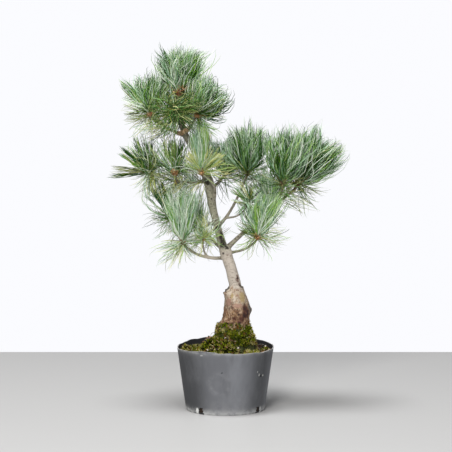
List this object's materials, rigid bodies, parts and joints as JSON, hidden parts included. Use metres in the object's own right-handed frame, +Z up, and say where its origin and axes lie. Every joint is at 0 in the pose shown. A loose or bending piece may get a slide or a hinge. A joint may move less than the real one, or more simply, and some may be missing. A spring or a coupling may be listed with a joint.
{
  "type": "japanese white pine pre-bonsai",
  "caption": "Young grafted white pine with a bent trunk and brush-like tufts of long needles, mossy at its foot, in a cut-down round nursery pot.",
  "frame": {"origin": "middle of the pot's flat underside", "axes": "+Z up the tree, -Y towards the viewer of its front, +X to the viewer's right"},
  "size_m": [0.2909, 0.1637, 0.4578],
  "materials": {
    "bark": "rough, flaking",
    "needles_green": "waxy blue-green",
    "needles_yellow": "waxy yellow-green",
    "moss": "soft, tufted",
    "soil": "crumbly",
    "pot_plastic": "dusty, scuffed"
  },
  "bodies": {
    "root": {"trunk": "bark", "bough_low_left": "bark", "bough_inner_left": "bark", "bough_low_right": "bark", "bough_right": "bark", "bough_right_up": "bark", "bough_right_back": "bark", "bough_mid_right": "bark", "bough_inner_right": "bark", "bough_left": "bark", "bough_low_back": "bark", "bough_mid_left": "bark", "bough_mid_left_up": "bark", "bough_centre": "bark", "bough_centre_back": "bark", "bough_top_left": "bark", "bough_top_right": "bark", "bough_top_front": "bark", "bough_top_back": "bark", "needles_apex_top": "needles_green", "needles_apex_left": "needles_green", "needles_apex_right": "needles_green", "needles_apex_front": "needles_green", "needles_apex_back": "needles_green", "needles_mid_left_out": "needles_green", "needles_mid_left_in": "needles_green", "needles_centre": "needles_green", "needles_centre_back": "needles_green", "needles_mid_right": "needles_green", "needles_right_up": "needles_green", "needles_right_out": "needles_green", "needles_right_back": "needles_green", "needles_low_right": "needles_green", "needles_inner_right": "needles_yellow", "needles_low_left": "needles_green", "needles_left": "needles_yellow", "needles_inner_left": "needles_yellow", "needles_low_back": "needles_green", "moss_mound": "moss", "moss_left": "moss", "moss_right": "moss", "soil": "soil", "pot": "pot_plastic"}
  },
  "joints": []
}
